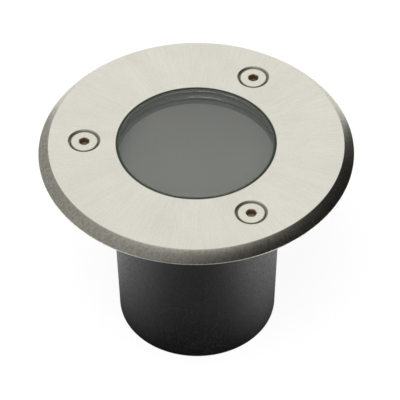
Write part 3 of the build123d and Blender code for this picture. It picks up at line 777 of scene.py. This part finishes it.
class WELLLIGHT_OT_window(WellLightOperator):
    """Builds what shows through the opening: glass, its bead and gasket, the spacer and the satin disc"""

    bl_idname = "welllight.window"
    bl_label = "Window"

    def execute(self, context):
        sizes = small_sizes(context)
        (glass_low, glass_top), (bead_low, bead_top) = span("glass_lens"), span("glass_bond")
        (seal_low, seal_top), seal = span("glass_gasket"), edge_of("glass_gasket", 0)
        (ring_low, ring_top), ring = span("disc_spacer"), edge_of("disc_spacer", 0)
        (disc_low, disc_top), disc = span("frosted_disc"), edge_of("frosted_disc", 0)
        boss, flange, flange_top = OPENING - 0.5, edge_of("glass_lens", 0), glass_low + 3.0
        glass = outline(
            (0, glass_top), (boss, glass_top, sizes.glass_round), (boss, flange_top),
            (flange, flange_top, 0.2), (flange, glass_low, 0.2), (0, glass_low))
        smear_and_edge_shade = sizes.glass_round + 0.03    # the bead runs over the ground edge of the glass: partly real sealant, partly painted shade standing in for the dark greenish look of the glass edge
        bead = outline(
            (boss, bead_low), (OPENING, bead_low), (OPENING, bead_top), (OPENING - 0.12, bead_top - 0.05),
            (boss, bead_top - 0.02), (boss - smear_and_edge_shade, glass_top + 0.01), (boss, glass_top - smear_and_edge_shade), loop=True)
        lip = boss + 0.25
        gasket = outline(
            (lip, seal_low, 0.2), (seal, seal_low, 0.3), (seal, seal_top, 0.3), (OPENING, seal_top),
            (OPENING, flange_top), (flange, flange_top), (flange, glass_low), (lip, glass_low), loop=True)
        spacer = outline(
            (ring - 1.1, ring_low, 0.1), (ring, ring_low, 0.1), (ring, ring_top, 0.1), (ring - 0.6, ring_top, 0.1),
            loop=True, steps=3)
        pane = outline((0, disc_top), (disc, disc_top, 0.25), (disc, disc_low, 0.25), (0, disc_low))
        for name, node, rows, closed in (
            ("window_glass", "glass_lens", glass, False), ("window_bead", "glass_bond", bead, True),
            ("window_gasket", "glass_gasket", gasket, True), ("window_spacer", "disc_spacer", spacer, True),
            ("satin_disc", "frosted_disc", pane, False),
        ):
            piece(name, mesh_of(name, swept(rows, closed=closed)), node)
        return {"FINISHED"}


class WELLLIGHT_OT_pot(WellLightOperator):
    """Builds the cast pot: turned body, screw bosses, ribs, gland pad and floor bosses, fused and rounded"""

    bl_idname = "welllight.pot"
    bl_label = "Pot"

    def execute(self, context):
        sizes = small_sizes(context)
        r = sizes.cast_round
        rim, flange = edge_of("pot_body", 2), edge_of("pot_body", 0)
        under, hub, hub_under, slope = rim - 4.0, 36.1, rim - 8.2, 3.5
        floor, foot, foot_width, wall_top = 3.0, 0.6, 5.0, 30.5
        bracket, block = span("lamp_bracket")[0], span("terminal_block")[0]
        seat, ledge, pocket, well = span("glass_gasket")[0] - 0.1, span("frosted_disc")[0], 28.2, 26.2
        boss, boss_end, rib, rib_end, soft = 5.5, rim - 9.5, 3.0, under - 9, 0.6
        bush, bush_end, hole_end = 3.55, rim - 8, rim - 8.8
        pad, pad_depth, pad_hole, floor_boss, floor_boss_place = 9.5, 5.8, 6.0, 3.5, 22.0
        draft, bore_draft = (math.tan(math.radians(degrees)) for degrees in (1.49, 0.7))

        def wall(height):
            return wall_top - (TOP - height) * draft

        body = outline(
            (0, foot), (wall(0) - foot_width - foot, foot, 0.3), (wall(0) - foot_width, 0, 0.3),
            (wall(0), 0, sizes.foot_round), (wall(hub_under - slope), hub_under - slope, 2 * r),
            (hub, hub_under, r), (hub, under, 2 * r), (flange, under, r), (flange, rim, 0.3),
            (RECESS, rim, 0.2), (RECESS, seat, 0.2), (pocket, seat, 0.2), (pocket, ledge), (well, ledge, 0.3),
            (well - (ledge - floor) * bore_draft, floor, 2.0), (0, floor))
        added, cut = [], []
        for number, degrees in enumerate(DIRECTIONS):
            place = screw_place(degrees)
            added.append(peg(f"boss_{number}", boss, boss_end, under + 2, place=place, low_round=soft))
            added.append(prism(f"rib_{number}", (
                (wall(under) - 1.2, rib_end), (wall(rib_end), rib_end), (flange - 2, under + soft),
                (hub - 2, under + soft), (hub - 2, hub_under + 0.2), (wall(under) - 1.2, hub_under + 0.2),
            ), rib, degrees + 180))
            cut.append(peg(f"bush_hole_{number}", bush, bush_end, rim + 1, place=place))
            cut.append(peg(f"screw_hole_{number}", SINK_HOLE, hole_end, rim, place=place))
        face = edge_of("gland_washer", 1, 0)
        for solids, name, rows in (
            (added, "gland_pad", outline(
                (0, face), (pad, face, 0.4), (pad, face - pad_depth, 0.3), (0, face - pad_depth))),
            (cut, "gland_hole", [(0, face + 1), (pad_hole, face + 1), (pad_hole, face - 7), (0, face - 7)]),
        ):
            solids.append(mesh_of(name, along_y(swept(rows, SMALL_STEPS))))
        for side in (-floor_boss_place, floor_boss_place):
            added.append(peg(f"floor_boss_{side}", floor_boss, floor - 1, bracket, 64, (side, 0), 0.3))
        (left, right), middle = span("terminal_block", 0), sum(span("terminal_block", 1)) / 2
        added.append(mesh_of("block_pad", box_patch(
            (left, middle - 4.5, floor - 1), (right, middle + 4.5, block))))
        turned = mesh_of("pot_turned", swept(body, POT_STEPS))
        piece("cast_pot", fused("cast_pot", turned, added, cut), "pot_body", 38)
        return {"FINISHED"}


class WELLLIGHT_OT_inside(WellLightOperator):
    """Finishes the pieces inside the pot: lamp, lampholder, bracket, terminals, leads and bushes"""

    bl_idname = "welllight.inside"
    bl_label = "Inside"

    def execute(self, context):
        for node in (
            "boss_inserts", "lamp_reflector", "lamp_front_glass", "lamp_cap", "lamp_capsule", "lamp_pins",
            "lamp_holder", "holder_contacts", "holder_screws", "lamp_bracket", "bracket_screws",
            "terminal_block", "terminal_clamps", "terminal_screws", "terminal_fixing_screw", "holder_leads",
        ):
            materials = frame["nodes"][node].data.materials
            materials.clear()
            materials.append(finish(SLOT_OF[node]))
        return {"FINISHED"}


class WELLLIGHT_OT_gland(WellLightOperator):
    """Builds the cable gland at the back: threaded body, flat washer, rubber bush and cap nut"""

    bl_idname = "welllight.gland"
    bl_label = "Cable gland"

    def execute(self, context):
        (inner, stub), (face, shoulder) = span("gland_body", 1), span("gland_washer", 1)
        (seal_in, seal_out), (nut_in, nut_out) = span("gland_seal", 1), span("gland_nut", 1)
        thread, bore, flats, pitch, cut, fade = 5.95, 3.85, 7.5, 1.5, 0.55, 0.7
        fit, seat, seal_bore, seal_head, washer_edge = 6.0, 4.5, 3.1, 5.0, 7.3
        corner = flats / math.cos(math.radians(30)) - 0.02
        hex_end = shoulder + 3.5

        def stretch(first, last):
            return [(thread, height) for height in np.linspace(first, last, 72)]

        def ridges(angles, heights, radii):
            """Threads where the surface lies at the thread's radius."""
            depth = groove(angles, heights, pitch, [(inner, face), (hex_end, stub)], fade)
            return -cut * depth * (np.abs(radii - thread) < 0.01)

        body = np.concatenate([
            outline((bore, inner), (bore, seal_in), (seat, seal_in), (seat, stub), (thread - 0.3, stub)),
            stretch(stub - 0.3, hex_end + 0.1), [(thread, hex_end)],
            outline((flats - 0.4, hex_end), (corner, hex_end - 0.6), (corner, shoulder + 0.2), (flats, shoulder)),
            [(thread, shoulder)], stretch(shoulder - 0.05, inner + 0.4), [(thread - 0.4, inner)]])
        nose = flats - 0.3
        band = nut_in + 0.45 * (nut_out - nut_in) + 0.5
        nut = outline(
            (fit, nut_in, 0.2), (flats + 0.3, nut_in), (corner, nut_in + 0.6), (corner, band - 0.8),
            (flats, band), (nose, band, 0.1), (nose, nut_out, nose - bore - 0.7), (bore, nut_out, 0.3),
            (bore, seal_out + 0.3), (fit, seal_out + 0.3), loop=True, steps=8)
        washer = outline(
            (fit, face, 0.15), (washer_edge, face, 0.15), (washer_edge, shoulder, 0.15), (fit, shoulder, 0.15),
            loop=True)
        bush = outline(
            (seal_bore, seal_in, 0.2), (seat, seal_in, 0.2), (seat, stub), (seal_head, stub, 0.15),
            (seal_head, seal_out, 0.3), (seal_bore, seal_out, 0.4), loop=True)
        for name, node, rows, steps, ripple, reach, crisp in (
            ("gland_barrel", "gland_body", body, GLAND_STEPS, ridges, flats, 28),
            ("gland_cap_nut", "gland_nut", nut, GLAND_STEPS, None, flats, 28),
            ("gland_flat_washer", "gland_washer", washer, SMALL_STEPS, None, None, 32),
            ("gland_bush", "gland_seal", bush, SMALL_STEPS, None, None, 32),
        ):
            patch = swept(rows, steps, closed=True, ripple=ripple, flats=reach)
            piece(name, mesh_of(name, along_y(patch)), node, crisp)
        return {"FINISHED"}


class WELLLIGHT_OT_stage(WellLightOperator):
    """Sets up the pale floor, the white room, the lamps, the grey screens and the camera"""

    bl_idname = "welllight.stage"
    bl_label = "Stage"

    def execute(self, context):
        scene, stage = context.scene, settings(context)[2]
        scene.view_settings.view_transform = "Standard"
        self.room(scene, stage)
        self.floor()
        self.lamps()
        if stage.screens:
            self.screens()
        self.camera(scene, stage)
        return {"FINISHED"}

    def sees_white(self, tree):
        """1 for the rays that should meet a white background: camera, glossy and transmission rays."""
        rays = add_node(tree, "ShaderNodeLightPath").outputs
        total = rays["Is Camera Ray"]
        for name in ("Is Glossy Ray", "Is Transmission Ray"):
            total = add_node(tree, "ShaderNodeMath", {0: total, 1: rays[name]}, operation="MAXIMUM").outputs[0]
        return total

    def emptied(self, block):
        """The node tree of a new world or material, with no nodes in it yet."""
        block.use_nodes = True
        block.node_tree.nodes.clear()
        return block.node_tree

    def room(self, scene, stage):
        """White world for what sees it, and a soft even light for everything else."""
        scene.world = bpy.data.worlds.new("room")
        tree = self.emptied(scene.world)
        fill, white = (
            add_node(tree, "ShaderNodeBackground", {"Color": (1.0, 1.0, 1.0, 1.0), "Strength": strength}).outputs[0]
            for strength in (stage.room_light, 1.0))
        mix = add_node(tree, "ShaderNodeMixShader", {0: self.sees_white(tree), 1: fill, 2: white})
        add_node(tree, "ShaderNodeOutputWorld", {"Surface": mix.outputs[0]})

    def floor(self):
        """Round pale floor that shows white and keeps a faint shadow."""
        glow_strength, glow_share, grey, below = 1.03, 0.9, 0.85, -0.05
        material = bpy.data.materials.new("pale_floor")
        tree = self.emptied(material)
        plain = add_node(tree, "ShaderNodeBsdfDiffuse", {"Color": (grey, grey, grey, 1.0)})
        glow = add_node(tree, "ShaderNodeEmission", {"Strength": glow_strength})
        share = add_node(tree, "ShaderNodeMath", {0: self.sees_white(tree), 1: glow_share}, operation="MULTIPLY")
        mix = add_node(tree, "ShaderNodeMixShader", {0: share.outputs[0], 1: plain.outputs[0], 2: glow.outputs[0]})
        add_node(tree, "ShaderNodeOutputMaterial", {"Surface": mix.outputs[0]})
        mesh = mesh_of("floor", swept([(0, below), (200, below), (4000, below)], SMALL_STEPS))
        mesh.flip_normals()
        mesh.materials.append(material)
        placed("floor", mesh)

    def lamps(self):
        """Two large soft lamps: one high in front and one lower at the right."""
        for name, place, width, power in (
            ("lamp_high", (-0.12, -0.42, 1.2), 0.7, 20.0),
            ("lamp_side", (0.9, 0.5, 0.55), 0.6, 2.0),
        ):
            data = bpy.data.lights.new(name, "AREA")
            data.shape, data.size, data.energy = "SQUARE", width, power
            obj = placed(name, data)
            aimed(obj, place, (0, 0, 0.05))
            obj.visible_glossy = False

    def shaded_by_direction(self, name, shades, nearest=0.0, low=1.0, high=1.0):
        """Glow that follows the direction from the Z axis, and grows from low to high with distance from it."""
        material = bpy.data.materials.new(name)
        tree = self.emptied(material)
        place = add_node(tree, "ShaderNodeTexCoord").outputs["Object"]
        turn = add_node(tree, "ShaderNodeTexGradient", {"Vector": place}, gradient_type="RADIAL")
        ramp = add_node(tree, "ShaderNodeValToRGB", {"Fac": turn.outputs["Fac"]})
        reach = add_node(tree, "ShaderNodeVectorMath", {0: place}, operation="LENGTH").outputs["Value"]
        rise = add_node(tree, "ShaderNodeMapRange", {
            "Value": reach, "From Min": nearest, "From Max": 3.0 * nearest + 1e-4, "To Min": low, "To Max": high})
        glow = add_node(tree, "ShaderNodeEmission", {"Color": ramp.outputs["Color"], "Strength": rise.outputs[0]})
        add_node(tree, "ShaderNodeOutputMaterial", {"Surface": glow.outputs[0]})
        stops = ramp.color_ramp.elements
        for number, (direction, share) in enumerate(sorted(shades.items())):
            at = direction / 360 + 0.5
            stop = stops[number] if number < 2 else stops.new(at)
            stop.position = at
            stop.color = (share, share, share, 1.0)
        return material

    def screens(self):
        """Grey screens that only gloss sees: an apron round the pot on the floor, and a curved wall round all.

        A profile of (distance, height) is turned about the Z axis between two directions, so a point is
        (distance cos a, distance sin a, height).
        """
        wall = self.shaded_by_direction(
            "grey_wall", {-171: 0.38, -125: 0.30, -90: 0.085, -45: 0.0, -9: 0.0, 46: 0.0, 134: 0.34})
        apron = self.shaded_by_direction("grey_apron", {
            -162: 0.75, -120: 0.28, -90: 0.18, -60: 0.3, -21: 1.0, 20: 0.76, 60: 0.88, 110: 0.82, 154: 0.88,
        }, 0.027, 0.12, 2.1)
        count = 145
        for name, first, last, material, profile in (
            ("screen_apron", -180, 180, apron, [(27, 1), (170, 1)]),
            ("screen_wall", 125, 414, wall, outline((170, 1), (1500, 1, 300), (1500, 2200))),
        ):
            profile = np.asarray(profile, float)
            angles = np.radians(np.linspace(first, last, count))
            points = np.stack([
                profile[:, :1] * np.cos(angles), profile[:, :1] * np.sin(angles),
                np.broadcast_to(profile[:, 1:], (len(profile), len(angles)))], axis=2)
            quads = ring_faces(len(profile), count).reshape(-1, count, 4)[:, :-1]    # left open
            mesh = mesh_of(name, (points.reshape(-1, 3), quads.reshape(-1, 4)))
            mesh.materials.append(material)
            obj = placed(name, mesh)
            obj.visible_camera = obj.visible_diffuse = obj.visible_shadow = obj.visible_transmission = False

    def camera(self, scene, stage):
        """Camera at the photograph's angle, turned to its aim and then about its own axis."""
        data = bpy.data.cameras.new("camera")
        data.sensor_width = 36.0
        data.lens = stage.lens
        data.clip_start, data.clip_end = 0.05, 20.0
        scene.camera = placed("camera", data)
        aimed(scene.camera, stage.camera_place, stage.camera_aim, stage.camera_roll)


# Panel and registration

OPERATORS = (
    WELLLIGHT_OT_trim, WELLLIGHT_OT_screws, WELLLIGHT_OT_window, WELLLIGHT_OT_pot,
    WELLLIGHT_OT_gland, WELLLIGHT_OT_inside, WELLLIGHT_OT_stage,
)


class WELLLIGHT_PT_pieces(Panel):
    """Lists the operators of the well light"""

    bl_idname = "WELLLIGHT_PT_pieces"
    bl_label = "In-ground well light"
    bl_space_type = "VIEW_3D"
    bl_region_type = "UI"
    bl_category = "Well light"

    def draw(self, context):
        column = self.layout.column(align=True)
        for operator in OPERATORS:
            column.operator(operator.bl_idname)
        for group in settings(context):
            box = self.layout.box()
            for name in group.__annotations__:
                box.prop(group, name)


GROUPS = {
    "well_light_sizes": WellLightSizes,
    "well_light_colours": WellLightColours,
    "well_light_stage": WellLightStage,
}


def register():
    for cls in (*GROUPS.values(), *OPERATORS, WELLLIGHT_PT_pieces):
        bpy.utils.register_class(cls)
    for name, cls in GROUPS.items():
        setattr(bpy.types.Scene, name, PointerProperty(type=cls))


def unregister():
    for name in GROUPS:
        delattr(bpy.types.Scene, name)
    for cls in reversed((*GROUPS.values(), *OPERATORS, WELLLIGHT_PT_pieces)):
        bpy.utils.unregister_class(cls)


def main():
    """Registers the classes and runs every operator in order."""
    register()
    for operator in OPERATORS:
        group, name = operator.bl_idname.split(".")
        getattr(getattr(bpy.ops, group), name)()


if __name__ == "__main__":
    main()
